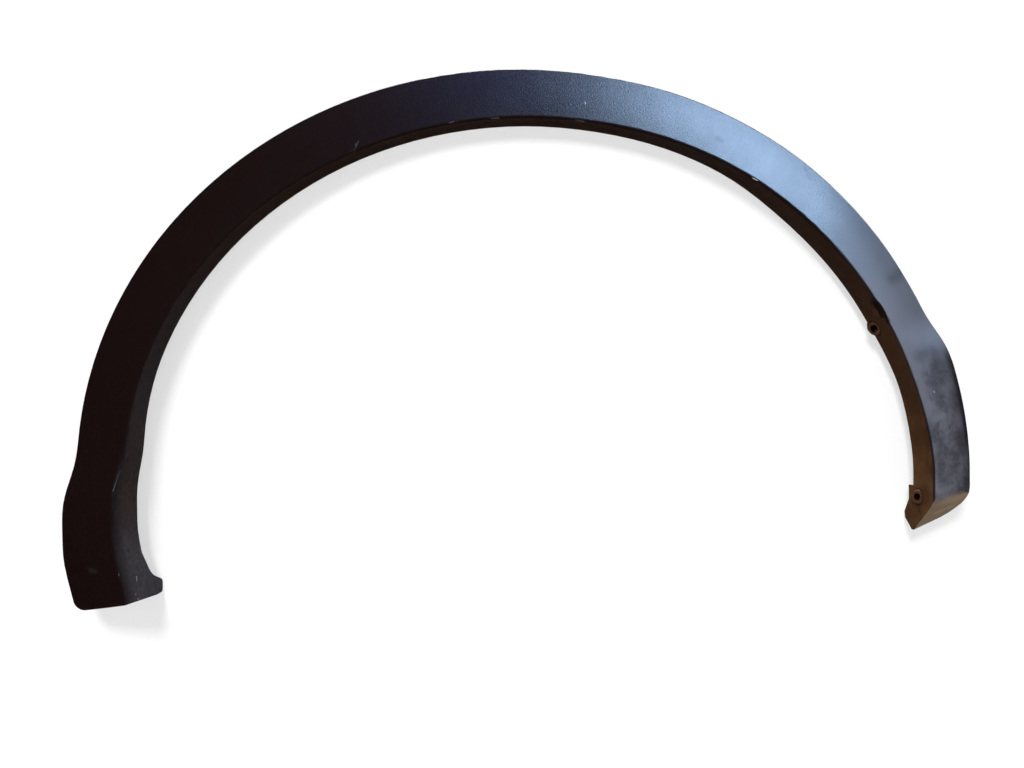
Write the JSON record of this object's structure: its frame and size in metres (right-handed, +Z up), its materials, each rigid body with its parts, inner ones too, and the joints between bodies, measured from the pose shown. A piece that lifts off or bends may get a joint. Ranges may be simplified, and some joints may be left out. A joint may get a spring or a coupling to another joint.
{
  "type": "wheel arch trim",
  "caption": "Moulded plastic flare for the edge of a car's wheel opening, with a creased face, return flange, stepped feet, flange screw holes and clip towers behind.",
  "frame": {"origin": "centre of the wheel opening, in the plane where the rim meets the body side", "axes": "+X to the right and +Z up as seen from outside the car, +Y into the car"},
  "size_m": [0.8973, 0.0693, 0.5354],
  "materials": {
    "grained_plastic": "fine moulded grain, satin, scuffed and dusty"
  },
  "bodies": {
    "root": {"wheel_arch_trim": "grained_plastic"}
  },
  "joints": []
}
